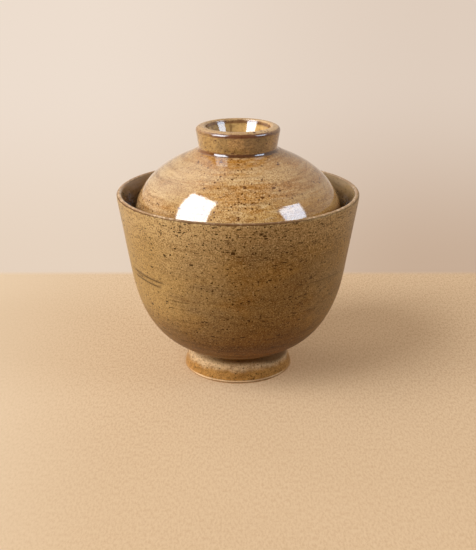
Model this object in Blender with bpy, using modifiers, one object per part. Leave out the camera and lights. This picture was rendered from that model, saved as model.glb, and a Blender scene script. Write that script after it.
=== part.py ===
# Lidded soup bowl in glazed stoneware: a bowl on a ring foot, and a domed lid with a ring knob.
# Metres, +Z up. The origin is the centre of the foot's standing face, on the turning axis.

import math

import bpy
from mathutils import Vector

# Bowl
RIM_DIAMETER = 0.115  # outside, across the lip
BOWL_HEIGHT = 0.089  # table to the top of the lip
LIP_THICKNESS = 0.0026  # the lip is a full round of this width
SIDE_THICKNESS = 0.0055  # wall below the tapered rim
TAPER_DEPTH = 0.021  # below the top of the lip, where the rim starts to thin
BELLY_DIAMETER = 0.1033  # outside, where the straight side starts to round in
BELLY_HEIGHT = 0.052  # that level above the table
BELLY_UPPER_PULL = 0.026  # how far the belly's curve keeps to the side's direction
BELLY_LOWER_PULL = 0.0141  # how far it keeps to the underside's slope
UNDERSIDE_SLOPE = math.radians(16)  # of the belly where it meets the foot
FLOOR_THICKNESS = 0.006  # at the middle, over the foot's recess

# Foot ring
FOOT_DIAMETER = 0.0532  # outside, where its flare meets the table
FOOT_WAIST_DIAMETER = 0.0456  # outside, under the belly
FOOT_HEIGHT = 0.0114  # table to the waist
FOOT_RING_WIDTH = 0.0045  # wall of the ring
FOOT_RECESS_DEPTH = 0.0072
FOOT_EDGE_RADIUS = 0.0006
FOOT_COVE_RADIUS = 0.0009
FOOT_RECESS_RADIUS = 0.002

# Lid
SEAT_DEPTH = 0.0183  # below the top of the lip, where the lid's edge meets the tapered wall
SEAT_GAP = 0.0003  # clearance between the lid's edge and the bowl, square to the wall
LID_THICKNESS = 0.004  # at the skirt, whose edge is a full round
LID_CROWN_THICKNESS = 0.005  # at the middle
LID_SKIRT_HEIGHT = 0.0077  # edge of the lid to the start of the dome
LID_DOME_RISE = 0.0334  # start of the dome to its top

# Knob ring
KNOB_DIAMETER = 0.0396  # outside, at the lip's edge
KNOB_BASE_DIAMETER = 0.0366  # outside, on the dome
KNOB_CREST_DIAMETER = 0.0328  # circle along the top of the ring
KNOB_MOUTH_DIAMETER = 0.03  # inside, under the lip
KNOB_FLOOR_DIAMETER = 0.0233  # inside, where the sloping wall meets the floor
KNOB_HEIGHT = 0.0094  # above the top of the dome
KNOB_LIP_FALL = 0.002  # crest of the ring down to the lip's outer edge
KNOB_LIP_ROLL = 0.0011  # crest down to the mouth's edge
KNOB_RECESS_DEPTH = 0.0085  # below the crest
KNOB_COVE_RADIUS = 0.0018
KNOB_RECESS_RADIUS = 0.0035

# Facets
STEPS_AROUND = 64
STEPS_BELLY = 9
STEPS_DOME = 9
STEPS_FLOOR = 4
STEPS_LIP = 6
STEPS_CORNER = 3
WELD_DISTANCE = 0.00001  # joins the first and last turn, and the points on the axis

# Glazes
BOWL_COLOUR = (0.24, 0.137, 0.056, 1.0)
BOWL_ROUGHNESS = 0.25
LID_COLOUR = (0.43, 0.25, 0.1, 1.0)
LID_ROUGHNESS = 0.1


# Profiles are lists of points (distance from the axis, height).

def bezier(start, start_pull, end_pull, end, steps):
    """Points of a cubic curve, each with the curve's direction there."""
    samples = []
    for step in range(steps + 1):
        t = step / steps
        u = 1 - t
        point = u**3 * start + 3 * u * u * t * start_pull + 3 * u * t * t * end_pull + t**3 * end
        speed = u * u * (start_pull - start) + 2 * u * t * (end_pull - start_pull) + t * t * (end - end_pull)
        samples.append((point, speed.normalized()))
    return samples


def ellipse_arc(centre, half_width, half_height, first, last, steps):
    """Points from one angle to another, counted from +X, on an ellipse or a circle."""
    points = []
    for step in range(steps + 1):
        angle = first + (last - first) * step / steps
        points.append(centre + Vector((half_width * math.cos(angle), half_height * math.sin(angle))))
    return points


def round_corner(before, corner, after, radius, steps):
    """A fillet between two straight lines that meet at the corner."""
    back = (before - corner).normalized()
    ahead = (after - corner).normalized()
    half = back.angle(ahead) / 2
    centre = corner + (back + ahead).normalized() * (radius / math.sin(half))
    first = corner + back * (radius / math.tan(half)) - centre
    last = corner + ahead * (radius / math.tan(half)) - centre
    return [centre + radius * first.slerp(last, step / steps) for step in range(steps + 1)]


def inward(direction):
    """Normal into the bowl, for a line that runs down its wall."""
    return Vector((direction.y, -direction.x))


# Bowl

def lip_centre():
    return Vector((RIM_DIAMETER - LIP_THICKNESS, 2 * BOWL_HEIGHT - LIP_THICKNESS)) / 2


def lip_tangent(point, side):
    """Angle on the lip's round where a line from the point touches it, outside (+1) or inside (-1)."""
    away = point - lip_centre()
    return math.atan2(away.y, away.x) + side * math.acos(LIP_THICKNESS / 2 / away.length)


def lip_point(angle):
    return lip_centre() + LIP_THICKNESS / 2 * Vector((math.cos(angle), math.sin(angle)))


def belly_top():
    return Vector((BELLY_DIAMETER / 2, BELLY_HEIGHT))


def side_direction():
    return (belly_top() - lip_point(lip_tangent(belly_top(), 1))).normalized()


def foot_waist():
    return Vector((FOOT_WAIST_DIAMETER / 2, FOOT_HEIGHT))


def belly(inset):
    """The belly's curve from the straight side down to the waist, moved into the wall by inset."""
    underside = Vector((math.cos(UNDERSIDE_SLOPE), math.sin(UNDERSIDE_SLOPE)))
    upper = belly_top() + BELLY_UPPER_PULL * side_direction()
    lower = foot_waist() + BELLY_LOWER_PULL * underside
    samples = bezier(belly_top(), upper, lower, foot_waist(), STEPS_BELLY)
    return [point + inset * inward(direction) for point, direction in samples]


def taper_foot():
    """Inside point where the wall has reached its full thickness."""
    direction = side_direction()
    drop = (BOWL_HEIGHT - TAPER_DEPTH - BELLY_HEIGHT) / direction.y
    return belly_top() + drop * direction + SIDE_THICKNESS * inward(direction)


def taper_top():
    return lip_point(lip_tangent(taper_foot(), -1))


def well_floor(last):
    """From the belly's inside to the middle of the floor, level at the axis."""
    middle = Vector((0, FOOT_RECESS_DEPTH + FLOOR_THICKNESS))
    run = (last.y - middle.y) / math.tan(UNDERSIDE_SLOPE)
    turn = Vector((last.x - run, middle.y))
    return [point for point, direction in bezier(last, turn, turn, middle, STEPS_FLOOR)]


def lip():
    inside = lip_tangent(taper_foot(), -1) + 2 * math.pi
    outside = lip_tangent(belly_top(), 1)
    return ellipse_arc(lip_centre(), LIP_THICKNESS / 2, LIP_THICKNESS / 2, inside, outside, STEPS_LIP)


def foot():
    """From the cove under the belly, round the standing ring, to the middle of the recess."""
    underside = belly(0)[-2]
    toe = Vector((FOOT_DIAMETER / 2, 0))
    heel = toe - Vector((FOOT_RING_WIDTH, 0))
    shoulder = Vector((foot_waist().x - FOOT_RING_WIDTH, FOOT_RECESS_DEPTH))
    middle = Vector((0, FOOT_RECESS_DEPTH))
    points = round_corner(underside, foot_waist(), toe, FOOT_COVE_RADIUS, STEPS_CORNER)
    points += round_corner(foot_waist(), toe, heel, FOOT_EDGE_RADIUS, STEPS_CORNER)
    points += round_corner(toe, heel, shoulder, FOOT_EDGE_RADIUS, STEPS_CORNER)
    points += round_corner(heel, shoulder, middle, FOOT_RECESS_RADIUS, STEPS_CORNER)
    return points + [middle]


def bowl_profile():
    inside = belly(SIDE_THICKNESS)
    floor = well_floor(inside[-1])
    up_the_inside = floor[::-1] + inside[-2::-1] + [taper_foot()]
    return up_the_inside + lip() + belly(0)[:-1] + foot()


# Lid

def lid_edge_centre():
    """Centre of the edge's round, where it rests against the tapered wall with its clearance."""
    slope = (taper_foot() - taper_top()).normalized()
    drop = (BOWL_HEIGHT - SEAT_DEPTH - taper_top().y) / slope.y
    seat = taper_top() + drop * slope
    return seat + (LID_THICKNESS / 2 + SEAT_GAP) * inward(slope)


def lid_radius():
    return lid_edge_centre().x + LID_THICKNESS / 2


def lid_bottom():
    return lid_edge_centre().y - LID_THICKNESS / 2


def dome_base():
    return lid_bottom() + LID_SKIRT_HEIGHT


def knob_crest():
    return dome_base() + LID_DOME_RISE + KNOB_HEIGHT


def dome_from(distance):
    """Outside of the dome, from a distance off the axis down to the skirt."""
    angle = math.acos(distance / lid_radius())
    return ellipse_arc(Vector((0, dome_base())), lid_radius(), LID_DOME_RISE, angle, 0, STEPS_DOME)


def hollow():
    """Inside of the lid, from the skirt up to the axis."""
    radius = lid_radius() - LID_THICKNESS
    rise = LID_DOME_RISE - LID_CROWN_THICKNESS
    return ellipse_arc(Vector((0, dome_base())), radius, rise, 0, math.pi / 2, STEPS_DOME)


def knob_recess():
    """From the middle of the recess to its mouth."""
    floor = knob_crest() - KNOB_RECESS_DEPTH
    middle = Vector((0, floor))
    corner = Vector((KNOB_FLOOR_DIAMETER / 2, floor))
    mouth = Vector((KNOB_MOUTH_DIAMETER / 2, knob_crest() - KNOB_LIP_ROLL))
    return [middle] + round_corner(middle, corner, mouth, KNOB_RECESS_RADIUS, STEPS_CORNER)


def knob_lip():
    """Rolls over from the mouth to the crest, then falls away in a quarter round to the outer edge."""
    crest = KNOB_CREST_DIAMETER / 2
    mouth_centre = Vector((crest, knob_crest() - KNOB_LIP_ROLL))
    mouth_reach = crest - KNOB_MOUTH_DIAMETER / 2
    roll = ellipse_arc(mouth_centre, mouth_reach, KNOB_LIP_ROLL, math.pi, math.pi / 2, STEPS_CORNER)
    edge_centre = Vector((crest, knob_crest() - KNOB_LIP_FALL))
    edge_reach = KNOB_DIAMETER / 2 - crest
    fall = ellipse_arc(edge_centre, edge_reach, KNOB_LIP_FALL, math.pi / 2, 0, STEPS_LIP)
    return roll + fall[1:]


def knob_cove():
    """Fillet from the knob's outside into the dome."""
    base, beyond = dome_from(KNOB_BASE_DIAMETER / 2)[:2]
    edge = Vector((KNOB_DIAMETER / 2, knob_crest() - KNOB_LIP_FALL))
    return round_corner(edge, base, beyond, KNOB_COVE_RADIUS, STEPS_CORNER)


def lid_profile():
    cove = knob_cove()
    outside = dome_from(cove[-1].x)[1:]
    edge = ellipse_arc(lid_edge_centre(), LID_THICKNESS / 2, LID_THICKNESS / 2, 0, -math.pi, STEPS_LIP)
    return knob_recess() + knob_lip() + cove + outside + edge + hollow()


# Objects

def glaze(name, colour, roughness):
    material = bpy.data.materials.new(name)
    material.use_nodes = True
    shader = material.node_tree.nodes["Principled BSDF"]
    shader.inputs["Base Color"].default_value = colour
    shader.inputs["Roughness"].default_value = roughness
    shader.inputs["Metallic"].default_value = 0.0
    return material


def turned(name, profile, base, material, collection):
    """Turn a profile once round the axis, with the object's origin on it at the height base."""
    mesh = bpy.data.meshes.new(name)
    corners = [(point.x, 0, point.y - base) for point in profile]
    mesh.from_pydata(corners, [(i, i + 1) for i in range(len(corners) - 1)], [])
    mesh.materials.append(material)
    piece = bpy.data.objects.new(name, mesh)
    piece.location.z = base
    screw = piece.modifiers.new("turn", "SCREW")
    screw.axis = "Z"
    screw.angle = 2 * math.pi
    screw.steps = STEPS_AROUND
    screw.render_steps = STEPS_AROUND
    screw.use_merge_vertices = True
    screw.merge_threshold = WELD_DISTANCE
    screw.use_smooth_shade = True
    collection.objects.link(piece)
    return piece


def main():
    for old in list(bpy.data.objects):
        bpy.data.objects.remove(old, do_unlink=True)
    parts = bpy.data.collections.new("lidded_soup_bowl")
    bpy.context.scene.collection.children.link(parts)
    bowl_glaze = glaze("olive_tan_glaze", BOWL_COLOUR, BOWL_ROUGHNESS)
    lid_glaze = glaze("honey_amber_glaze", LID_COLOUR, LID_ROUGHNESS)
    bowl = turned("bowl", bowl_profile(), 0, bowl_glaze, parts)
    lid = turned("lid", lid_profile(), lid_bottom(), lid_glaze, parts)
    lid.parent = bowl


main()
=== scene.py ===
import math

import bpy
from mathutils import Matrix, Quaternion, Vector


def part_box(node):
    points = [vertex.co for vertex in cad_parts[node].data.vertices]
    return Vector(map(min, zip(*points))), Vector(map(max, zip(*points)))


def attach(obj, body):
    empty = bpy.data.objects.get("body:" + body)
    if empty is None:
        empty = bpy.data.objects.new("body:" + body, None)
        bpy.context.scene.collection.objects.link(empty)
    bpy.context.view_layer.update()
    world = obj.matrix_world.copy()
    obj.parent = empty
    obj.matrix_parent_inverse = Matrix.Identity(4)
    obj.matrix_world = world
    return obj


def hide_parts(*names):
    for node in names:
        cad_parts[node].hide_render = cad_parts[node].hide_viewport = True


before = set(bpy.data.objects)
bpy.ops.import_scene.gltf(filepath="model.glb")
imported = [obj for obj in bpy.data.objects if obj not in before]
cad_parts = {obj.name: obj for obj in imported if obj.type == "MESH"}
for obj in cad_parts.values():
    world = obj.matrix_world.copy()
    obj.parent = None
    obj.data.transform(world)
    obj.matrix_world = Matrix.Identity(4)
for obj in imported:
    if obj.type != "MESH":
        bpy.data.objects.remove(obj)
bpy.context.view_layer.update()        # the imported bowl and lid, fixed in place
scene = bpy.context.scene
mm = 0.001
print("frame:", sorted(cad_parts))


# Camera, at the photograph's viewing angle

view = {
    "place": (0.0, -0.4717, 0.2143),
    "tilt": 70.33,       # degrees up from straight down
    "lens": 67.0,
}

bpy.ops.object.select_all(action="DESELECT")
bpy.ops.object.camera_add(location=view["place"], rotation=(math.radians(view["tilt"]), 0, 0))
scene.camera = bpy.context.object
scene.camera.data.lens = view["lens"]
scene.view_settings.view_transform = "Standard"
print("camera: lens", view["lens"])


# Outlines: lists of points (distance from the axis, height) in metres

def runTo(points, end, spacing):
    start = points[-1]
    count = max(1, round((end - start).length / spacing))
    points += [start.lerp(end, i / count) for i in range(1, count + 1)]


def arcTo(points, centre, radii, first, last, count):
    for i in range(count + 1):
        angle = first + (last - first) * i / count
        points.append(centre + Vector((radii[0] * math.cos(angle), radii[1] * math.sin(angle))))


def cornerTo(points, corner, after, radius, spacing, count=6):        # a run that ends in a fillet
    back = (points[-1] - corner).normalized()
    ahead = (after - corner).normalized()
    half = back.angle(ahead) / 2
    reach = radius / math.tan(half)
    runTo(points, corner + back * reach, spacing)
    centre = corner + (back + ahead).normalized() * (radius / math.sin(half))
    first = points[-1] - centre
    last = corner + ahead * reach - centre
    points += [centre + radius * first.slerp(last, i / count) for i in range(1, count + 1)]


def cubicAt(cubic, t):        # point and direction
    a, b, c, d = cubic
    u = 1 - t
    point = u**3 * a + 3 * u * u * t * b + 3 * u * t * t * c + t**3 * d
    speed = u * u * (b - a) + 2 * u * t * (c - b) + t * t * (d - c)
    return point, speed.normalized()


def intoWall(direction):        # across a line that runs down the outside
    return Vector((direction.y, -direction.x))


def turnOnWheel(name, outline, steps):
    bpy.ops.object.select_all(action="DESELECT")
    bpy.ops.mesh.primitive_plane_add(size=mm)
    piece = bpy.context.object
    piece.name = name
    piece.data.name = name
    bpy.ops.object.mode_set(mode="EDIT")
    bpy.ops.mesh.merge(type="CENTER")        # down to one point, the start of the outline
    here = Vector((0, 0))
    for i, there in enumerate(outline):
        step = (there.x - here.x, 0, there.y - here.y)
        if i == 0:
            bpy.ops.transform.translate(value=step)
        else:
            bpy.ops.mesh.extrude_vertices_move(TRANSFORM_OT_translate={"value": step})
        here = there
    bpy.ops.mesh.select_all(action="SELECT")
    bpy.ops.mesh.spin(steps=steps, angle=math.tau, center=(0, 0, 0), axis=(0, 0, 1))
    bpy.ops.mesh.select_all(action="SELECT")
    bpy.ops.mesh.remove_doubles(threshold=0.005 * mm)
    bpy.ops.mesh.normals_make_consistent(inside=False)
    bpy.ops.object.mode_set(mode="OBJECT")
    bpy.ops.object.shade_smooth()
    return piece


# Handwork: the unevenness of a thrown pot

def weigh(piece, name, share):        # a vertex group from place and normal
    group = piece.vertex_groups.new(name=name)
    for vertex in piece.data.vertices:
        weight = share(vertex.co, vertex.normal)
        if weight > 0:
            group.add([vertex.index], weight, "REPLACE")


def outwards(co, normal):        # share of the normal that points away from the axis
    across = math.hypot(co.x, co.y)
    return (co.x * normal.x + co.y * normal.y) / across if across > 0.1 * mm else 0.0


def smooth(value, low, high):
    t = min(1.0, max(0.0, (value - low) / (high - low)))
    return t * t * (3 - 2 * t)


# size and depth in mm; with middle at 1 it only pushes in
def unevenness(piece, group, size, depth, grain=1, middle=1.0):
    bpy.ops.object.select_all(action="DESELECT")
    bpy.ops.object.empty_add(location=(0.3 * depth, 0, 0))        # a place of its own in the clouds
    guide = bpy.context.object
    guide.scale = [s * mm for s in size]
    bpy.context.view_layer.update()
    clouds = bpy.data.textures.new(group, "CLOUDS")
    clouds.noise_scale = 1.0
    clouds.noise_depth = grain
    push = piece.modifiers.new("push", "DISPLACE")
    push.texture = clouds
    push.texture_coords = "OBJECT"
    push.texture_coords_object = guide
    push.vertex_group = group
    push.mid_level = middle
    push.strength = depth * mm
    bpy.context.view_layer.objects.active = piece
    bpy.ops.object.modifier_apply(modifier=push.name)
    bpy.data.objects.remove(guide)
    bpy.data.textures.remove(clouds)


def scratch(piece, grooves):        # turning marks, also kept as an attribute for the glaze
    surface = [(vertex.co.copy(), vertex.normal.copy()) for vertex in piece.data.vertices]
    marks = [0.0] * len(surface)
    for index, (co, normal) in enumerate(surface):
        if outwards(co, normal) < 0.2:        # not inside or underneath
            continue
        turn = math.degrees(math.atan2(co.x, -co.y))
        for groove in grooves:
            start, end = groove["turn"]
            t = (turn - start) / (end - start)
            level = groove["level"][0] + (groove["level"][1] - groove["level"][0]) * t
            away = (co.z / mm - level) / groove["width"]
            if 0 < t < 1 and abs(away) < 3:
                fade = min(1.0, 8 * t, 8 * (1 - t))        # shallower towards both ends
                share = fade * math.exp(-away * away)
                marks[index] = max(marks[index], share * groove["tone"])
                piece.data.vertices[index].co -= normal * (share * groove["depth"] * mm)
    stain = piece.data.attributes.new("groove", "FLOAT", "POINT")
    stain.data.foreach_set("value", marks)


# Bowl

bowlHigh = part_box("bowl")[1]        # upper corner
bowl = {
    "rim": bowlHigh.x,
    "height": bowlHigh.z,
    "lip": 1.3 * mm,        # radius of the lip's round
    "wall": 5.5 * mm,
    "taper": 21 * mm,        # the rim thins above this depth
    "belly": 51.65 * mm,        # radius where the side starts to round in
    "bellyLevel": 52 * mm,
    "upperPull": 26 * mm,
    "lowerPull": 14.1 * mm,
    "underside": math.radians(16),
    "floorLevel": 13.2 * mm,
    "waist": 22.8 * mm,
    "footHeight": 11.4 * mm,
    "toe": 26.6 * mm,
    "ring": 4.5 * mm,
    "recess": 7.2 * mm,
    "footEdge": 0.6 * mm,
    "cove": 0.9 * mm,
    "recessRound": 2 * mm,
    "glazeLine": 1.1 * mm,        # bare clay below this level
    "glaze": 0.14 * mm,        # thickness of the glaze where it stops
    "glazeRound": 0.06 * mm,        # of the glaze's edge
    "glazeStep": 0.05 * mm,
    "fine": 0.3 * mm,        # row spacing outside
    "coarse": 1.3 * mm,        # row spacing inside
    "rows": {"well": 20, "inside": 40, "lip": 16, "belly": 170},        # along the curves
    "steps": 192,
    "hand": [        # millimetres: a slow wobble, throwing rings outside and in, a worn lip
        {"group": "outside", "size": (32, 32, 22), "depth": 0.36, "middle": 0.5},
        {"group": "outside", "size": (60, 60, 1.5), "depth": 0.05, "grain": 2, "middle": 0.5},
        {"group": "inside", "size": (70, 70, 2.6), "depth": 0.06},
        {"group": "lip", "size": (7, 7, 9), "depth": 0.16, "grain": 2},
    ],
}

bowlGrooves = [        # degrees round from the front, and millimetres
    {"turn": (-68, -38), "level": (56.4, 55.6), "width": 0.48, "depth": 0.2, "tone": 1.0},
    {"turn": (-67, -41), "level": (54.0, 53.2), "width": 0.46, "depth": 0.18, "tone": 1.0},
    {"turn": (-39, -24), "level": (48.2, 48.5), "width": 0.34, "depth": 0.1, "tone": 0.6},
    {"turn": (34, 63), "level": (56.5, 56.0), "width": 0.34, "depth": 0.1, "tone": 0.6},
    {"turn": (36, 46), "level": (42.6, 42.3), "width": 0.32, "depth": 0.1, "tone": 0.6},
    {"turn": (128, 171), "level": (50.5, 49.6), "width": 0.32, "depth": 0.12, "tone": 0.6},
    {"turn": (-160, -118), "level": (61.0, 60.5), "width": 0.30, "depth": 0.10, "tone": 0.5},
]


def bowlOutline():
    fine, coarse, rows = bowl["fine"], bowl["coarse"], bowl["rows"]
    lipCentre = Vector((bowl["rim"] - bowl["lip"], bowl["height"] - bowl["lip"]))

    def touching(point, side):        # angle on the lip where a line from the point touches it
        away = point - lipCentre
        return math.atan2(away.y, away.x) + side * math.acos(bowl["lip"] / away.length)

    def onLip(angle):
        return lipCentre + bowl["lip"] * Vector((math.cos(angle), math.sin(angle)))

    bellyTop = Vector((bowl["belly"], bowl["bellyLevel"]))
    outer = touching(bellyTop, 1)
    side = (bellyTop - onLip(outer)).normalized()
    waist = Vector((bowl["waist"], bowl["footHeight"]))
    slope = Vector((math.cos(bowl["underside"]), math.sin(bowl["underside"])))
    belly = (bellyTop, bellyTop + bowl["upperPull"] * side, waist + bowl["lowerPull"] * slope, waist)
    drop = (bowl["height"] - bowl["taper"] - bowl["bellyLevel"]) / side.y
    taperFoot = bellyTop + drop * side + bowl["wall"] * intoWall(side)
    inner = touching(taperFoot, -1) + math.tau

    # up the inside
    well = waist + bowl["wall"] * intoWall(cubicAt(belly, 1)[1])
    inset = (well.y - bowl["floorLevel"]) / math.tan(bowl["underside"])
    turn = Vector((well.x - inset, bowl["floorLevel"]))
    middle = Vector((0, bowl["floorLevel"]))
    floor = (middle, turn, turn, well)
    points = [cubicAt(floor, i / rows["well"])[0] for i in range(rows["well"] + 1)]
    for i in range(1, rows["inside"] + 1):
        point, direction = cubicAt(belly, 1 - i / rows["inside"])
        points.append(point + bowl["wall"] * intoWall(direction))
    runTo(points, taperFoot, coarse)
    runTo(points, onLip(inner), coarse)

    # over the lip and down the outside
    arcTo(points, lipCentre, (bowl["lip"], bowl["lip"]), inner, outer, rows["lip"])
    runTo(points, bellyTop, fine)
    for i in range(1, rows["belly"]):
        point = cubicAt(belly, i / rows["belly"])[0]
        if (point - waist).length > 1.4 * bowl["cove"]:        # room for the fillet
            points.append(point)

    # round the foot
    toe = Vector((bowl["toe"], 0))
    glazeEnd = waist.lerp(toe, 1 - bowl["glazeLine"] / bowl["footHeight"])
    clay = Vector((bowl["glaze"], 0))
    cornerTo(points, waist, glazeEnd, bowl["cove"], fine)
    cornerTo(points, glazeEnd, glazeEnd - clay, bowl["glazeRound"], fine, 3)
    runTo(points, glazeEnd - clay - Vector((0, bowl["glazeStep"])), fine)
    heel = toe - Vector((bowl["ring"], 0))
    shoulder = Vector((bowl["waist"] - bowl["ring"], bowl["recess"]))
    cornerTo(points, toe - clay, heel, bowl["footEdge"], fine)
    cornerTo(points, heel, shoulder, bowl["footEdge"], coarse)
    cornerTo(points, shoulder, Vector((0, bowl["recess"])), bowl["recessRound"], coarse)
    runTo(points, Vector((0, bowl["recess"])), 2 * coarse)
    return points


bowlPiece = turnOnWheel("soupBowl", bowlOutline(), bowl["steps"])


def bowlOutside(co, normal):
    belowLip = smooth(bowl["height"] - co.z, 2 * mm, 14 * mm)
    return smooth(outwards(co, normal), -0.3, 0.3) * smooth(co.z, 1.2 * mm, 3 * mm) * belowLip


def bowlInside(co, normal):
    return smooth(-outwards(co, normal), 0.3, 0.7) * smooth(co.z, 18 * mm, 26 * mm)


def bowlLip(co, normal):
    return smooth(co.z, bowl["height"] - 3 * mm, bowl["height"] - 1 * mm)


weigh(bowlPiece, "outside", bowlOutside)
weigh(bowlPiece, "inside", bowlInside)
weigh(bowlPiece, "lip", bowlLip)
for touch in bowl["hand"]:
    unevenness(bowlPiece, **touch)
scratch(bowlPiece, bowlGrooves)
print("bowl:", len(bowlPiece.data.polygons), "faces")


# Lid

lidLow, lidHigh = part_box("lid")
lid = {
    "radius": lidHigh.x,
    "bottom": lidLow.z,
    "crest": lidHigh.z,
    "edge": 2 * mm,        # radius of the skirt's round edge
    "skirt": 7.7 * mm,        # edge to the start of the dome
    "rise": 33.4 * mm,        # start of the dome to its top
    "crown": 5 * mm,        # thickness at the middle
    "arris": 19.8 * mm,        # radius of the knob's outer edge
    "base": 18.3 * mm,
    "ridge": 16.4 * mm,        # radius along the top of the knob
    "mouth": 15 * mm,
    "well": 11.65 * mm,
    "lipFall": 2 * mm,
    "lipRoll": 1.1 * mm,
    "recess": 8.5 * mm,
    "cove": 1.8 * mm,
    "collar": 0.8 * mm,        # rise of the dome against the knob
    "collarReach": 4.5 * mm,
    "wellRound": 3.5 * mm,
    "fine": 0.3 * mm,
    "coarse": 1.3 * mm,
    "rows": {"mouth": 8, "lip": 20, "cove": 8, "dome": 140, "edge": 14, "hollow": 50},
    "tick": 0.08,        # radians, a short way along a curve
    "steps": 192,
    "hand": [        # millimetres: a slow wobble, throwing rings outside and in
        {"group": "outside", "size": (26, 26, 18), "depth": 0.2},
        {"group": "outside", "size": (60, 60, 1.3), "depth": 0.035, "grain": 2},
        {"group": "hollow", "size": (60, 60, 2.4), "depth": 0.06},
    ],
}
lid["domeBase"] = lid["bottom"] + lid["skirt"]


def lidOutline():
    fine, coarse, rows = lid["fine"], lid["coarse"], lid["rows"]
    floor = lid["crest"] - lid["recess"]
    mouth = Vector((lid["mouth"], lid["crest"] - lid["lipRoll"]))
    arris = Vector((lid["arris"], lid["crest"] - lid["lipFall"]))

    def onDome(angle):
        across = lid["radius"] * math.cos(angle)
        near = (across - lid["base"]) / lid["collarReach"]
        collar = lid["collar"] * math.exp(-near * near)
        return Vector((across, lid["domeBase"] + lid["rise"] * math.sin(angle) + collar))

    # knob, from the middle of its recess
    points = [Vector((0, floor))]
    cornerTo(points, Vector((lid["well"], floor)), mouth, lid["wellRound"], coarse)
    runTo(points, mouth, fine)
    ridge = Vector((lid["ridge"], mouth.y))
    roll = (lid["ridge"] - lid["mouth"], lid["lipRoll"])
    arcTo(points, ridge, roll, math.pi, math.pi / 2, rows["mouth"])
    baseAngle = math.acos(lid["base"] / lid["radius"])
    base = onDome(baseAngle)
    shoulder = Vector((lid["ridge"], arris.y))
    fall = (arris.x - lid["ridge"], lid["lipFall"])
    arcTo(points, shoulder, fall, math.pi / 2 - lid["tick"], 0, rows["lip"])
    cornerTo(points, base, onDome(baseAngle - lid["tick"]), lid["cove"], fine, rows["cove"])

    # dome, skirt, edge and hollow
    start = math.acos(points[-1].x / lid["radius"])
    points += [onDome(start * (1 - i / rows["dome"])) for i in range(1, rows["dome"] + 1)]
    edgeCentre = Vector((lid["radius"] - lid["edge"], lid["bottom"] + lid["edge"]))
    runTo(points, edgeCentre + Vector((lid["edge"], 0)), 2 * fine)
    arcTo(points, edgeCentre, (lid["edge"], lid["edge"]), 0, -math.pi, rows["edge"])
    hollow = (lid["radius"] - 2 * lid["edge"], lid["rise"] - lid["crown"])
    arcTo(points, Vector((0, lid["domeBase"])), hollow, 0, math.pi / 2, rows["hollow"])
    return points


lidPiece = turnOnWheel("bowlLid", lidOutline(), lid["steps"])


def lidOutside(co, normal):
    return smooth(normal.z, -0.25, 0.05) * smooth(co.z, lid["domeBase"], lid["domeBase"] + 4 * mm)


def lidHollow(co, normal):
    base = lid["domeBase"]
    return smooth(-normal.z, 0.1, 0.4) * smooth(co.z, base + 2 * mm, base + 6 * mm)


weigh(lidPiece, "outside", lidOutside)
weigh(lidPiece, "hollow", lidHollow)
for touch in lid["hand"]:
    unevenness(lidPiece, **touch)
print("lid:", len(lidPiece.data.polygons), "faces")


# Shader maths as Python expressions

class Wire:
    def __init__(self, tree, socket=None):
        self.tree = tree
        self.socket = socket

    def node(self, kind, settings=None, sockets=None, out=0):
        made = self.tree.nodes.new(kind)
        for name, value in (settings or {}).items():
            setattr(made, name, value)
        for name, value in (sockets or {}).items():
            if isinstance(value, Wire):
                self.tree.links.new(value.socket, made.inputs[name])
            else:
                made.inputs[name].default_value = value
        return Wire(self.tree, made.outputs[out])

    def beside(self, out):        # another output of the same node
        return Wire(self.tree, self.socket.node.outputs[out])

    def maths(self, operation, first, second):
        return self.node("ShaderNodeMath", {"operation": operation}, {0: first, 1: second})

    def __add__(self, other):
        return self.maths("ADD", self, other)

    __radd__ = __add__

    def __mul__(self, other):
        return self.maths("MULTIPLY", self, other)

    __rmul__ = __mul__

    def __sub__(self, other):
        return self.maths("SUBTRACT", self, other)

    def __rsub__(self, other):
        return self.maths("SUBTRACT", other, self)

    def __truediv__(self, other):
        return self.maths("DIVIDE", self, other)

    def __rtruediv__(self, other):
        return self.maths("DIVIDE", other, self)

    def __pow__(self, other):
        return self.maths("POWER", self, other)

    def __lt__(self, other):
        return self.maths("LESS_THAN", self, other)

    def atLeast(self, other):
        return self.maths("MAXIMUM", self, other)


def ease(value, low, high):        # 0 at low, 1 at high, smooth between
    sockets = {"Value": value, "From Min": low, "From Max": high}
    return value.node("ShaderNodeMapRange", {"interpolation_type": "SMOOTHSTEP"}, sockets)


def mix(mask, first, second):        # colours
    return mask.node("ShaderNodeMix", {"data_type": "RGBA"}, {0: mask, 6: first, 7: second}, 2)


def darken(mask, first, second):        # first multiplied by second where the mask is 1
    settings = {"data_type": "RGBA", "blend_type": "MULTIPLY"}
    return mask.node("ShaderNodeMix", settings, {0: mask, 6: first, 7: second}, 2)


def cloud(place, size, detail=2.0, rough=0.5, warp=0.0):        # noise with features of a size in mm
    spot = place.node("ShaderNodeVectorMath", {"operation": "DIVIDE"}, {0: place, 1: size})
    sockets = {"Vector": spot, "Scale": 1.0, "Detail": detail, "Roughness": rough, "Distortion": warp}
    return place.node("ShaderNodeTexNoise", None, sockets)


def flecks(place, cell, share, radius, soft=0.14):        # spots in a share of the cells
    spot = place.node("ShaderNodeVectorMath", {"operation": "DIVIDE"}, {0: place, 1: cell})
    away = place.node("ShaderNodeTexVoronoi", None, {"Vector": spot, "Scale": 1.0})
    chance = place.node("ShaderNodeSeparateColor", None, {0: away.beside("Color")})
    size = chance.beside(1) * (0.7 * radius) + 0.3 * radius
    return ease(away, size + soft / 2, size - soft / 2) * (chance < share)


def paint(red, green, blue):        # a colour as a picture shows it, 0 to 255, to a linear one
    def linear(value):
        value /= 255
        return value / 12.92 if value <= 0.04045 else ((value + 0.055) / 1.055) ** 2.4
    return (linear(red), linear(green), linear(blue), 1.0)


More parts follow.
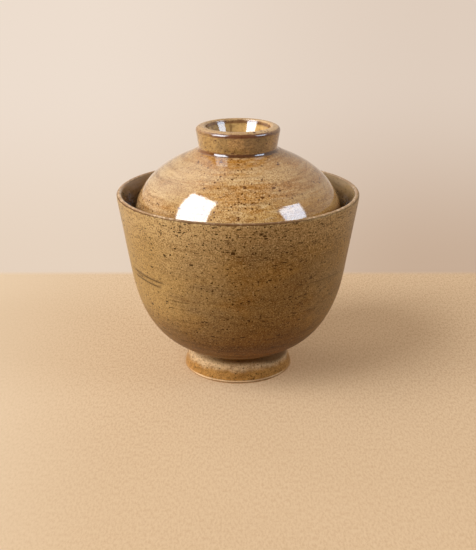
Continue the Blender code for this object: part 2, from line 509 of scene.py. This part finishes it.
def newMaterial(name):        # and its object coordinates in millimetres
    material = bpy.data.materials.new(name)
    material.use_nodes = True
    material.node_tree.nodes.clear()
    where = Wire(material.node_tree).node("ShaderNodeTexCoord", out="Object")
    place = where.node("ShaderNodeVectorMath", {"operation": "SCALE"}, {0: where, "Scale": 1 / mm})
    return material, place


def split(place):
    x = place.node("ShaderNodeSeparateXYZ", None, {0: place})
    return x, x.beside(1), x.beside(2)


def finish(place, colour, roughness, relief, constants):        # relief in millimetres
    normal = place.node("ShaderNodeBump", None, {"Height": relief, "Distance": mm, "Strength": 1.0})
    sockets = {"Base Color": colour, "Roughness": roughness, "Normal": normal, **constants}
    shader = place.node("ShaderNodeBsdfPrincipled", None, sockets)
    output(shader)


def output(shader, kind="ShaderNodeOutputMaterial"):
    end = shader.tree.nodes.new(kind)
    shader.tree.links.new(shader.socket, end.inputs["Surface"])


# Bowl glazes

oliveLook = {
    "body": paint(140, 106, 58),
    "gold": paint(157, 124, 73),
    "olive": paint(127, 99, 62),
    "brown": paint(104, 62, 12),
    # paler colour for the painted sheen on the front left
    "milk": paint(178, 146, 98),
    "frontShade": paint(240, 224, 190),        # multiplies: painted shade on the front
    "pale": paint(188, 157, 110),
    "shade": paint(138, 110, 76),        # multiplies, for grain
    "fleck": paint(44, 18, 0),
    "lipBrown": paint(72, 38, 14),
    "lipTan": paint(158, 122, 86),
    "lipPale": paint(196, 166, 132),
    "footBeige": paint(208, 175, 132),
    "footAmber": paint(167, 119, 61),
    # painted shade under the belly, at the top of the foot
    "waist": paint(76, 42, 8),
    "groove": paint(44, 20, 3),
    "sheen": paint(255, 224, 152),        # tint of the gloss
    "index": 1.36,
    "size": {        # of the pattern's parts, in millimetres
        "patches": (26, 26, 15),
        "bands": (55, 55, 3.0),
        "lines": (34, 34, 0.7),
        "mottle": (2.4, 2.4, 1.4),
        "grain": (0.62, 0.62, 0.5),
        "rust": (15, 15, 6),
        "run": (5, 5, 6),
        "dash": (2.3, 2.3, 1.0),
        "dot": (1.25, 1.25, 1.05),
        "streak": (5.0, 5.0, 0.9),
        "pepper": (0.9, 0.9, 0.75),
        "wear": (3, 3, 1.4),
        "nick": (1.8, 1.8, 3),
    },
    "level": {        # heights in millimetres where a change starts and ends
        "lip": (87.9, 88.2),
        "rubbed": (88.35, 88.7),
        "nick": (88.3, 88.7),
        "upper": (74, 87),
        "rimward": (58, 84),
        "lower": (50, 18),
        "underBelly": (16.5, 12.5),
        "foot": (11.2, 10.4),
        "waist": (7.4, 10.0),
        "run": (7.4, 4.0),
        "gold": (18, 45),
        "milk": (54, 72),
        "frontShade": (80, 52),
    },
    "side": {        # the same, right of the middle
        "gold": (-6, -44),
        # where the painted sheen lies on the front left
        "milkStart": (2, -14),
        "milkEnd": (-42, -28),
        # where the painted shade lies on the front
        "frontShadeStart": (-12, 4),
        "frontShadeEnd": (38, 26),
        # the painted shade at the waist: weaker on the left, deeper on the right
        "waistShadeLeft": (-20, -6),
        "waistShadeRight": (6, 20),
        "faintIron": (14, 34),
        "paleLip": (16, 44),
    },
    "spread": {"lower": (250, 900), "brownLip": (1300, 300)},        # squares of the same
    "front": {"glaze": (-8, -24), "brownLip": (0, -20)},        # the same, behind the middle
}


def worn(place, z, colour, line, wear):        # the lip: a brown line, tan above it, with pale nicks
    look = oliveLook
    size, level = look["size"], look["level"]
    noise = cloud(place, size["wear"], 3.0, 0.65)
    lip = ease(z + 1.6 * (noise - 0.5), *level["lip"])
    colour = mix(lip * line, colour, look["lipBrown"])
    rubbed = ease(z + 0.5 * (noise - 0.5), *level["rubbed"])
    colour = mix(rubbed * wear, colour, look["lipTan"])
    nick = ease(cloud(place, size["nick"], 2.0, 0.6), 0.54, 0.64) * ease(z, *level["nick"])
    return lip, mix(nick * wear, colour, look["lipPale"])


def footGlaze(place, x, z, mottle, grain):        # beige, an amber run below, and painted shade at the waist above
    look = oliveLook
    level, side = look["level"], look["side"]
    amber = ease(z + 5 * (cloud(place, look["size"]["run"], 3.0, 0.6) - 0.5), *level["run"])
    colour = mix(amber, look["footBeige"], look["footAmber"])
    colour = darken(ease(mottle, 0.6, 0.35) * 0.45, colour, look["shade"])
    colour = darken(ease(grain, 0.55, 0.3) * 0.5, colour, look["shade"])
    # painted shade at the waist under the belly: weaker to the left, reaching lower to the right
    shadeReach = 2.5 * (mottle - 0.5) + 2.2 * ease(x, *side["waistShadeRight"])
    waist = ease(z + shadeReach, *level["waist"]) * (0.55 + 0.38 * ease(x, *side["waistShadeLeft"]))
    return mix(waist, colour, look["waist"])


def oliveGlaze():
    material, place = newMaterial("oliveGlaze")
    x, y, z = split(place)
    look = oliveLook
    size, level, side = look["size"], look["level"], look["side"]
    spread, front = look["spread"], look["front"]

    patches = cloud(place, size["patches"], 3.0, 0.55, 0.4)
    bands = cloud(place, size["bands"], 3.0, 0.6)
    lines = cloud(place, size["lines"], 2.0, 0.5)
    mottle = cloud(place, size["mottle"], 3.0, 0.6)
    grain = cloud(place, size["grain"], 1.0, 0.6)

    colour = mix(ease(patches, 0.35, 0.65), look["olive"], look["body"])
    rust = ease(cloud(place, size["rust"], 3.0, 0.6, 0.5), 0.52, 0.68)
    colour = mix(rust * 0.35, colour, look["brown"])
    goldSide = ease(x, *side["gold"]) * ease(z, *level["gold"])
    gold = ease(patches * 0.4 + bands * 0.4 + goldSide * 0.5, 0.48, 0.85)
    colour = mix(gold * 0.9, colour, look["gold"])
    facing = ease(y, *front["glaze"])
    milky = ease(x, *side["milkStart"]) * ease(x, *side["milkEnd"]) * facing        # painted sheen of the left light, paler on the front left
    milky = milky * (0.2 + 0.8 * ease(z, *level["milk"]))
    colour = mix(milky * (0.25 + 0.35 * bands), colour, look["milk"])
    lower = ease(z + 9 * bands, *level["lower"])
    colour = mix(lower * (0.9 - 0.28 * ease(x * x, *spread["lower"])), colour, look["brown"])
    upper = ease(z + 6 * patches, *level["upper"])
    colour = mix(upper * 0.4, colour, look["pale"])
    colour = darken(ease(bands, 0.52, 0.4) * lower * 0.5, colour, look["shade"])
    colour = mix(ease(bands, 0.52, 0.66) * lower * 0.4, colour, look["body"])
    frontShade = ease(x, *side["frontShadeStart"]) * ease(x, *side["frontShadeEnd"]) * facing        # painted shade: darker and warmer on the front, away from the left light
    colour = darken(frontShade * (0.25 + 0.55 * ease(z, *level["frontShade"])), colour, look["frontShade"])
    colour = darken(ease(lines, 0.48, 0.3) * 0.3, colour, look["shade"])
    colour = darken(ease(mottle, 0.52, 0.32) * 0.35, colour, look["shade"])
    rimward = ease(z, *level["rimward"])
    colour = darken(ease(grain, 0.52, 0.3) * (0.6 + 0.2 * rimward), colour, look["shade"])
    colour = mix(ease(grain, 0.54, 0.72) * (0.35 + 0.35 * rimward), colour, look["pale"])

    # foot
    foot = ease(z, *level["foot"])
    colour = mix(ease(z, *level["underBelly"]) * 0.35, colour, look["body"])
    colour = mix(foot, colour, footGlaze(place, x, z, mottle, grain))

    # iron: dashes along the turning, denser under the rim
    spare = 1 - 0.3 * goldSide        # fewer on the golden side
    rows = (0.4 + 1.4 * ease(bands, 0.48, 0.62)) * spare
    dash = flecks(place, size["dash"], (0.1 + 0.16 * rimward) * rows, 0.46, 0.08)
    dot = flecks(place, size["dot"], (0.16 + 0.14 * rimward) * spare, 0.42, 0.08)
    streak = flecks(place, size["streak"], (0.03 + 0.08 * rimward) * rows, 0.36, 0.08)
    pepper = flecks(place, size["pepper"], (0.36 + 0.1 * rimward) * spare, 0.42, 0.1)
    iron = dash.atLeast(streak).atLeast(dot).atLeast(pepper * 0.6)
    faint = 1 - 0.22 * ease(x, *side["faintIron"])
    colour = mix(iron * (0.95 - 0.3 * foot) * faint, colour, look["fleck"])

    # turning marks and the brown lip
    groove = place.node("ShaderNodeAttribute", {"attribute_name": "groove"}, None, "Fac")
    colour = mix(groove * 0.9, colour, look["groove"])
    brownLip = ease(x * x, *spread["brownLip"]) * ease(y, *front["brownLip"])        # less worn
    line = 0.95 - 0.55 * ease(x, *side["paleLip"])
    lip, colour = worn(place, z, colour, line, 0.8 - 0.55 * brownLip)

    roughness = 0.34 + 0.1 * mottle + 0.15 * lip
    relief = 0.04 * mottle + 0.03 * grain + 0.04 * lines - 0.012 * iron
    finish(place, colour, roughness, relief, {"IOR": look["index"], "Specular Tint": look["sheen"]})
    return material


wellLook = {
    "bowl": (paint(136, 106, 66), paint(86, 62, 38)),        # body, and where it lies deep
    "lid": (paint(150, 110, 64), paint(126, 90, 48)),
    "index": 1.55,
    "size": {
        "patches": (24, 24, 12),
        "rings": (60, 60, 1.8),
        "mottle": (2.2, 2.2, 1.6),
        "dots": (1.7, 1.7, 1.0),
    },
    "level": {"light": (84, 92), "shade": (82, 76)},        # heights near the rim: painted light above, painted shade lower down
}


def wellGlaze(name, body, deep, rim=False):        # inside of the bowl, and of the lid
    material, place = newMaterial(name)
    x, y, z = split(place)
    size, level = wellLook["size"], wellLook["level"]
    patches = cloud(place, size["patches"], 3.0, 0.55)
    rings = cloud(place, size["rings"], 3.0, 0.6)
    mottle = cloud(place, size["mottle"], 3.0, 0.6)
    colour = mix(ease(patches * 0.6 + rings * 0.4, 0.35, 0.65), body, deep)
    dots = flecks(place, size["dots"], 0.22, 0.34)
    colour = darken(ease(mottle, 0.55, 0.3) * 0.4, colour, oliveLook["pale"])
    colour = mix(dots * 0.8, colour, oliveLook["fleck"])
    if rim:
        # painted light: paler near the rim; painted shade: darker lower down, towards the lid
        colour = mix(ease(z + 4 * patches, *level["light"]) * 0.5, colour, oliveLook["pale"])
        colour = darken(ease(z + 4 * patches, *level["shade"]) * 0.6, colour, oliveLook["shade"])
        colour = worn(place, z, colour, 0.2, 0.8)[1]
    relief = 0.03 * mottle + 0.06 * rings - 0.05 * dots
    finish(place, colour, 0.1 + 0.1 * mottle, relief, {"IOR": wellLook["index"]})
    return material


clayLook = {
    "pale": paint(216, 182, 136),
    "tan": paint(196, 158, 112),
    "index": 1.45,
    "size": {"grit": (0.9, 0.9, 0.9), "patches": (9, 9, 5), "specks": (1.4, 1.4, 1.2)},
    "stain": (400, 560),        # squares of millimetres to either side
}


def bareClay():
    material, place = newMaterial("bareClay")
    x, y, z = split(place)
    size = clayLook["size"]
    grit = cloud(place, size["grit"], 4.0, 0.65)
    patches = cloud(place, size["patches"], 3.0, 0.5)
    colour = mix(ease(patches, 0.35, 0.65), clayLook["pale"], clayLook["tan"])
    colour = darken(ease(grit, 0.5, 0.3) * 0.5, colour, oliveLook["pale"])
    stain = ease(x * x + 160 * (patches - 0.5), *clayLook["stain"])        # glaze run over the sides
    colour = mix(stain * 0.85, colour, oliveLook["footAmber"])
    colour = mix(flecks(place, size["specks"], 0.16, 0.3) * 0.7, colour, oliveLook["fleck"])
    finish(place, colour, 0.75 + 0.15 * grit, 0.12 * grit, {"IOR": clayLook["index"]})
    return material


# Lid glaze

amberLook = {
    "honey": paint(178, 136, 80),
    "amber": paint(162, 108, 42),
    "milk": paint(204, 172, 124),
    # paler and greyer to the left, partly a painted sheen
    "creamSheen": paint(161, 141, 114),
    "rose": paint(164, 125, 84),
    "shade": paint(152, 120, 80),
    "warmth": paint(238, 226, 200),        # multiplies, beside the middle
    "fleck": paint(80, 38, 5),
    "gilt": paint(210, 160, 86),
    "knobSide": paint(140, 106, 54),
    "knobDark": paint(122, 92, 50),
    "knobLip": paint(172, 134, 88),
    # painted highlight on the knob's lip, to the right
    "lipHighlight": paint(190, 150, 100),
    "knobGold": paint(168, 131, 72),
    "arris": paint(92, 48, 17),
    "recess": paint(192, 150, 88),
    "recessDark": paint(170, 134, 78),
    "pool": paint(66, 29, 2),
    "poolAmber": paint(98, 51, 3),
    "index": 1.8,
    "size": {        # of the pattern's parts, in millimetres
        "patches": (20, 20, 9),
        "bands": (50, 50, 2.6),
        "threads": (26, 26, 0.7),
        "mottle": (2.0, 2.0, 1.3),
        "grain": (0.62, 0.62, 0.5),
        "brush": (7, 7, 1.3),
        "drips": (2.2, 2.2, 9),
        "dot": (1.5, 1.5, 1.2),
        "dash": (2.6, 2.6, 1.2),
        "pepper": (0.9, 0.9, 0.75),
        "spot": (3.2, 3.2, 2.6),
    },
    "level": {        # heights in millimetres where a change starts and ends
        "low": (98, 87),
        "rimShade": (94, 86),
        "upper": (90, 102),
        "shoulderFoot": (90, 99),
        "shoulderTop": (109, 104),
        "crown": (99, 106),
        "pool": (110.4, 109.5),
        "side": (109.6, 110.6),
        "arrisFoot": (117.2, 117.6),
        "arrisTop": (119.3, 118.9),
        "top": (118.2, 118.6),
    },
    "reach": {        # the same, from the axis
        "recess": (15.0, 14.2),
        "mouthIn": (14.5, 14.8),
        "mouthOut": (15.3, 15.0),
        "top": (14.6, 15.4),
        "arris": (18.4, 18.9),
        "poolIn": (17.6, 18.0),
        "poolOut": (19.7, 18.9),
        "busy": (14.2, 15.2),
        "spot": (16, 17),
    },
    "side": {        # the same, right of the middle
        "calmLeft": (-4, -26),
        "calmRight": (12, 32),
        "calmLow": (20, 6),
        "rose": (12, 34),
        "creamSheen": (-10, -36),
        "milkStart": (-16, -9),
        "milkEnd": (7, 0),
        "warmRight": (8, 20),
        "warmLeft": (-8, -16),
        "warmEnd": (-38, -28),
        "knobGold": (9, -5),
        "knobDark": (4, 14),
        "knobDarkEnd": (17, 9),
        "knobSheen": (11, 16),
        "recess": (-5, 6),
        "recessRuns": (4, 0),
        "lipHighlight": (2, 14),
        "arrisLeft": (-9, -16),
        "arrisRight": (11, 17),
        "poolAmber": (-8, -14),
    },
    "spread": {"rimShade": (450, 1000)},        # squares of the same
    "front": {"pool": (6, -10)},        # the same, behind the middle
}


def knobSide(x, patches, drips, mottle, grain):        # olive to gold, with runs down it
    look, side = amberLook, amberLook["side"]
    colour = mix(ease(patches, 0.4, 0.6), look["knobSide"], look["honey"])
    colour = mix(ease(x + 14 * drips, *side["knobGold"]) * 0.8, colour, look["knobGold"])
    dark = ease(x + 14 * drips, *side["knobDark"]) * ease(x, *side["knobDarkEnd"])
    colour = mix(dark * 0.8, colour, look["knobDark"])
    # painted sheen: paler at the right end of the knob's side
    colour = mix(ease(x, *side["knobSheen"]) * 0.5, colour, look["knobLip"])
    colour = darken(ease(mottle, 0.58, 0.35) * 0.4, colour, look["shade"])
    return darken(ease(grain, 0.55, 0.3) * 0.7, colour, look["shade"])


def knobRecess(x, drips, mottle):        # golden, darker to the left
    look, side = amberLook, amberLook["side"]
    colour = mix(ease(x + 7 * (drips - 0.5), *side["recess"]), look["recessDark"], look["recess"])
    runs = ease(drips, 0.5, 0.36) * ease(x, *side["recessRuns"])
    colour = darken(runs * 0.6, colour, look["shade"])
    return darken(ease(mottle, 0.55, 0.35) * 0.4, colour, look["shade"])


def knobLip(x, grain):
    look = amberLook
    # painted highlight: the lip lighter to the right
    colour = mix(ease(x, *look["side"]["lipHighlight"]), look["knobLip"], look["lipHighlight"])
    return darken(ease(grain, 0.55, 0.3) * 0.5, colour, look["shade"])


def knobLines(x, z, across, mottle):        # brown lines on the knob's outer edge and round its mouth
    level, reach, side = amberLook["level"], amberLook["reach"], amberLook["side"]
    arris = ease(across, *reach["arris"]) * ease(z + 1.2 * (mottle - 0.5), *level["arrisFoot"])
    arris = arris * ease(z + 0.8 * (mottle - 0.5), *level["arrisTop"])
    arris = arris * (1 - 0.55 * ease(x, *side["arrisLeft"]) - 0.3 * ease(x, *side["arrisRight"]))
    mouth = ease(across, *reach["mouthIn"]) * ease(across + 0.8 * (mottle - 0.5), *reach["mouthOut"])
    return arris.atLeast(mouth * 0.75) * 0.95


def knobPool(y, z, across, mottle):        # where glaze has pooled at the knob's foot
    level, reach = amberLook["level"], amberLook["reach"]
    pool = ease(across + 1.2 * (mottle - 0.5), *reach["poolOut"]) * ease(across, *reach["poolIn"])
    pool = pool * ease(z, *level["pool"])
    return pool * ease(y, *amberLook["front"]["pool"]) * 0.9


def amberGlaze():
    material, place = newMaterial("amberGlaze")
    x, y, z = split(place)
    across = (x * x + y * y) ** 0.5
    look = amberLook
    size, level, reach, side = look["size"], look["level"], look["reach"], look["side"]

    patches = cloud(place, size["patches"], 3.0, 0.6, 0.6)
    bands = cloud(place, size["bands"], 3.0, 0.6, 0.3)
    threads = cloud(place, size["threads"], 2.0, 0.6)
    mottle = cloud(place, size["mottle"], 3.0, 0.6)
    grain = cloud(place, size["grain"], 1.0, 0.6)

    run = ease(patches * 0.5 + bands * 0.5, 0.38, 0.6)
    low = ease(z + 8 * (bands - 0.5), *level["low"])
    calm = (ease(x, *side["calmLeft"]) * 0.85).atLeast(ease(x, *side["calmRight"]) * 0.7)
    calm = calm.atLeast(ease(z, *level["crown"]) * 0.5)        # smoother at the sides and above
    busy = 1 - calm * (1 - 0.6 * low * ease(x, *side["calmLow"]))
    busy = busy * ease(across, *reach["busy"])
    colour = mix(run, look["amber"], look["honey"])
    colour = mix(ease(z, *level["upper"]) * 0.35, colour, look["amber"])
    colour = mix(low * 0.6, colour, look["gilt"])
    shoulder = ease(z, *level["shoulderFoot"]) * ease(z, *level["shoulderTop"])
    colour = mix(shoulder * ease(bands, 0.4, 0.65) * 0.35, colour, look["milk"])
    colour = mix(shoulder * ease(x, *side["rose"]) * 0.4, colour, look["rose"])
    # paler and greyer to the left: partly a painted sheen of the left light
    colour = mix(ease(x, *side["creamSheen"]) * (0.55 - 0.15 * low), colour, look["creamSheen"])
    milky = low * ease(x, *side["milkStart"]) * ease(x, *side["milkEnd"])
    colour = mix(milky * 0.35, colour, look["milk"])
    # painted shade: darker amber low on the dome's sides, by the bowl's rim
    rimShade = ease(z, *level["rimShade"]) * ease(x * x, *look["spread"]["rimShade"])
    colour = mix(rimShade * 0.42, colour, look["amber"])
    colour = darken(ease(bands, 0.5, 0.36) * calm * 0.35, colour, look["shade"])
    colour = mix(ease(bands, 0.5, 0.66) * calm * 0.35, colour, look["milk"])
    colour = mix(ease(threads, 0.55, 0.7) * 0.3, colour, look["milk"])
    colour = darken(ease(threads, 0.46, 0.3) * (0.2 + 0.3 * busy), colour, look["shade"])
    brush = cloud(place, size["brush"], 2.0, 0.6)
    colour = mix(ease(brush, 0.52, 0.68) * (0.15 + 0.4 * busy), colour, look["milk"])
    colour = mix(ease(brush, 0.46, 0.32) * (0.1 + 0.6 * busy), colour, look["amber"])
    colour = darken(ease(mottle, 0.55, 0.3) * 0.35, colour, look["shade"])
    colour = darken(ease(grain, 0.55, 0.3) * (0.36 + 0.3 * busy), colour, look["shade"])
    colour = darken(ease(x, *side["warmRight"]) * 0.5, colour, look["warmth"])
    warm = ease(x, *side["warmLeft"]) * ease(x, *side["warmEnd"])
    colour = darken(warm * 0.45, colour, look["warmth"])
    colour = mix(ease(grain, 0.54, 0.7) * (0.1 + 0.48 * busy), colour, look["milk"])

    # knob
    drips = cloud(place, size["drips"], 2.0, 0.6)        # runs down its side
    knob = ease(z, *level["side"])
    colour = mix(knob, colour, knobSide(x, patches, drips, mottle, grain))
    colour = mix(ease(across, *reach["recess"]) * 0.9, colour, knobRecess(x, drips, mottle))
    top = ease(z + 0.5 * (mottle - 0.5), *level["top"]) * ease(across, *reach["top"])
    colour = mix(top * 0.9, colour, knobLip(x, grain))
    colour = mix(knobLines(x, z, across, mottle), colour, look["arris"])
    poolColour = mix(ease(x, *side["poolAmber"]), look["pool"], look["poolAmber"])
    colour = mix(knobPool(y, z, across, mottle), colour, poolColour)

    # iron dots and pits, thicker where the glaze runs amber
    dot = flecks(place, size["dot"], (0.32 - 0.18 * run) * busy, 0.4, 0.08)
    dash = flecks(place, size["dash"], (0.15 - 0.08 * run) * busy, 0.38, 0.08)
    pepper = flecks(place, size["pepper"], (0.5 - 0.2 * run) * busy, 0.42, 0.1)
    spot = flecks(place, size["spot"], 0.3, 0.24, 0.06) * knob * ease(across, *reach["spot"])
    iron = dot.atLeast(dash).atLeast(pepper * 0.7).atLeast(spot)
    colour = mix(iron * 0.92, colour, look["fleck"])

    roughness = 0.05 + 0.05 * mottle + 0.16 * top
    pits = dot.atLeast(dash)
    relief = 0.02 * mottle + 0.012 * threads + 0.015 * bands + 0.004 * grain - 0.005 * pits
    finish(place, colour, roughness, relief, {"IOR": look["index"]})
    return material


olive = oliveGlaze()
well = wellGlaze("wellGlaze", *wellLook["bowl"], rim=True)
clay = bareClay()
amber = amberGlaze()
hollow = wellGlaze("hollowGlaze", *wellLook["lid"])


def coat(piece, materials, choose):        # a material for each face, by its place and normal
    for material in materials:
        piece.data.materials.append(material)
    for face in piece.data.polygons:
        face.material_index = materials.index(choose(face.center, face.normal))


def bowlCoat(co, normal):
    across = math.hypot(co.x, co.y)
    if co.z < bowl["glazeLine"] - 0.02 * mm and across > bowl["toe"] - bowl["ring"] - 1 * mm:
        return clay        # the standing ring
    if co.z < bowl["recess"] + 0.1 * mm and across < bowl["waist"]:
        return olive        # inside the foot
    return olive if outwards(co, normal) > 0 else well


def lidCoat(co, normal):
    if co.z < lid["bottom"] + 1.2 * mm:
        return clay        # the edge of the skirt
    if normal.z < 0 and co.z < lid["domeBase"] + lid["rise"] - 4 * mm and outwards(co, normal) < 0.1:
        return hollow
    return hollow if normal.z < -0.5 else amber


coat(bowlPiece, [olive, well, clay], bowlCoat)
coat(lidPiece, [amber, hollow, clay], lidCoat)
for piece, node, slot in ((bowlPiece, "bowl", "bowl_glaze"), (lidPiece, "lid", "lid_glaze")):
    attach(piece, node)
    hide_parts(node)
print("glazes:", len(bpy.data.materials), "materials")


# Stage: a pale floor, a beige distance and three soft lights

studio = {
    "floor": paint(172, 148, 118),
    "floorBack": paint(182, 158, 128),
    # painted light on the floor's left
    "floorLitLeft": paint(181, 162, 136),
    "floorGlow": (0.16, 0.087, 0.039, 1),        # lifts the shadow
    "contactShadow": paint(238, 212, 180),        # multiplies, along the foot: painted contact shadow
    "fibre": paint(196, 180, 160),        # multiplies
    "fibreSize": (0.85, 2.3, 0.85),
    "drift": paint(210, 200, 190),        # multiplies
    "driftSize": (90, 90, 90),
    "width": 16,        # metres
    "back": (-150, 60),        # millimetres behind the bowl, from one paper to the other
    "left": (-30, -170),        # and right of it
    "contactReach": (27.5, 26.5),        # millimetres from the axis
    "footReach": (26.2, 27.4),
    "fade": (600, 1300),        # the same, where the wall's glow takes over in other views
    "horizon": (127.0, 136.0),        # millimetres behind the bowl, where the wall starts
    "slant": (-0.16, 0.2),        # sideways over distance, across the picture
    "drop": (0.15, 0.36),        # the camera's height over distance, down the wall
    "wall": [paint(237, 221, 206), paint(223, 205, 189)],        # high, left and right: painted light, paler towards the left light
    "wallFoot": [paint(230, 210, 190), paint(199, 173, 150)],        # low, left and right: painted light, and the bowl's painted shadow low on the right
    "aim": (0, 0, 0.09),
    "boxes": [        # degrees round from the camera and up, metres, and brightness
        {"turn": -58.8, "rise": 41.4, "yaw": -14, "pitch": -20, "roll": 18, "size": (1.35, 1.94),
         "bright": 10.6, "tint": (0.93, 0.98, 1.05), "mirrored": True},
        {"turn": -104, "rise": 9, "yaw": 0, "pitch": 0, "roll": 0, "size": (1.3, 0.7),
         "bright": 6.0, "tint": (1.0, 0.98, 0.95), "mirrored": False},
        {"turn": 71, "rise": 30, "yaw": 0, "pitch": 0, "roll": -8, "size": (1.01, 0.95),
         "bright": 6.6, "tint": (0.78, 0.94, 1.16), "mirrored": True},
    ],
    "away": 2.2,
    "room": [        # soft lights on the walls: direction, brightness, reach
        {"towards": (-0.50, 0.465, 0.73), "bright": 1.05, "reach": (0.84, 0.99)},
        {"towards": (0.78, 0.40, 0.48), "bright": 0.35, "reach": (0.60, 0.95)},
    ],
    "roomDark": 0.18,
    "roomTint": (1.0, 0.96, 0.91, 1),
}


def paperShade(place, x, y, near):        # colour of the floor
    fibre = cloud(place, studio["fibreSize"], 3.0, 0.75)
    drift = cloud(place, studio["driftSize"], 2.0, 0.5)
    back = ease(y, *studio["back"])
    shade = mix(back, studio["floor"], studio["floorBack"])
    shade = darken(ease(fibre, 0.62, 0.3) * (0.4 + 0.36 * back), shade, studio["fibre"])
    shade = darken(ease(drift, 0.3, 0.7) * 0.08, shade, studio["drift"])
    # painted light: paler to the left, towards the key light
    shade = mix(ease(x, *studio["left"]), shade, studio["floorLitLeft"])
    # painted contact shadow round the foot
    return darken(ease(near, *studio["contactReach"]), shade, studio["contactShadow"])


def wallShade(x, y, across):        # colour of the wall, with painted light and the bowl's painted shadow
    far = (y - view["place"][1] / mm).atLeast(1.0)        # from below the camera
    slant = x / far
    right = ease(slant, *studio["slant"])
    low = ease(view["place"][2] / mm / far, *studio["drop"])
    wall = mix(low, mix(right, *studio["wall"]), mix(right, *studio["wallFoot"]))
    behind = ease(y, 0, 120) * ease(slant * slant, 0.5, 0.1)        # plainer elsewhere
    return mix(behind, mix(ease(x / across, -0.6, 0.6), *studio["wall"]), wall)


def floorPaper():        # paper round the bowl, and the wall's glow beyond the horizon
    material, place = newMaterial("paper")
    x, y, z = split(place)
    across = (x * x + y * y) ** 0.5
    # distance for the painted contact shadow, thinner at the left and right
    near = across + 0.8 * ease(x, -4, -22) + 0.6 * ease(x, 12, 22)
    matt = place.node("ShaderNodeBsdfDiffuse", None, {"Color": paperShade(place, x, y, near)})
    clear = ease(near, *studio["footReach"])        # painted contact shadow: no glow where the foot stands
    glowing = mix(clear, (0, 0, 0, 1), studio["floorGlow"])
    lift = place.node("ShaderNodeEmission", None, {"Color": glowing, "Strength": 1.0})
    paper = place.node("ShaderNodeAddShader", None, {0: matt, 1: lift})
    glow = place.node("ShaderNodeEmission", None, {"Color": wallShade(x, y, across), "Strength": 1.0})
    ray = place.node("ShaderNodeLightPath", out="Is Camera Ray")
    seen = ray.atLeast(ray.beside("Is Glossy Ray")).atLeast(ray.beside("Is Transmission Ray"))
    beyond = ease(y, *studio["horizon"]) * seen
    beyond = beyond.atLeast(ease(across, *studio["fade"]) * ray)
    output(place.node("ShaderNodeMixShader", None, {0: beyond, 1: paper, 2: glow}))
    return material


def layFloor():
    bpy.ops.object.select_all(action="DESELECT")
    bpy.ops.mesh.primitive_plane_add(size=studio["width"])
    floor = bpy.context.object
    floor.name = "floor"
    floor.data.materials.append(floorPaper())


def pointing(turn, rise):        # degrees round from the camera and up
    turn, rise = math.radians(turn), math.radians(rise)
    return Vector((math.sin(turn) * math.cos(rise), -math.cos(turn) * math.cos(rise), math.sin(rise)))


def hangBox(box):
    place = Vector(studio["aim"]) + studio["away"] * pointing(box["turn"], box["rise"])
    back = pointing(box["turn"] + box["yaw"], box["rise"] + box["pitch"])
    bpy.ops.object.light_add(type="AREA", location=place)
    lamp = bpy.context.object
    facing = back.to_track_quat("Z", "Y") @ Quaternion((0, 0, 1), math.radians(box["roll"]))
    lamp.rotation_euler = facing.to_euler()
    lamp.data.shape = "RECTANGLE"
    lamp.data.size, lamp.data.size_y = box["size"]
    lamp.data.energy = box["bright"] * math.pi * lamp.data.size * lamp.data.size_y
    lamp.data.color = box["tint"]
    lamp.visible_glossy = box["mirrored"]


def fillRoom():
    scene.world = bpy.data.worlds.new("room")
    scene.world.use_nodes = True
    tree = scene.world.node_tree
    tree.nodes.clear()
    seen = Wire(tree).node("ShaderNodeLightPath", out="Is Camera Ray")
    where = seen.node("ShaderNodeTexCoord", out="Generated")
    bright = None
    for glow in studio["room"]:
        towards = Vector(glow["towards"]).normalized()
        sockets = {0: where, 1: towards}
        near = where.node("ShaderNodeVectorMath", {"operation": "DOT_PRODUCT"}, sockets, "Value")
        lit = ease(near, *glow["reach"]) * glow["bright"]
        bright = lit + studio["roomDark"] if bright is None else bright + lit
    x, y, z = split(where)
    back = ease(y, 0.0, 0.3) * ease(z, 0.92, 0.3)        # the wall behind, fading upwards
    paper = mix(ease(x, -0.6, 0.6), *studio["wall"])
    room = seen.node("ShaderNodeBackground", None, {"Color": studio["roomTint"], "Strength": bright})
    wall = seen.node("ShaderNodeBackground", None, {"Color": paper, "Strength": 1.0})
    both = seen.node("ShaderNodeMixShader", None, {0: seen.atLeast(back * 0.75), 1: room, 2: wall})
    output(both, "ShaderNodeOutputWorld")


layFloor()
for box in studio["boxes"]:
    hangBox(box)
fillRoom()
print("stage:", len(studio["boxes"]), "soft lights")
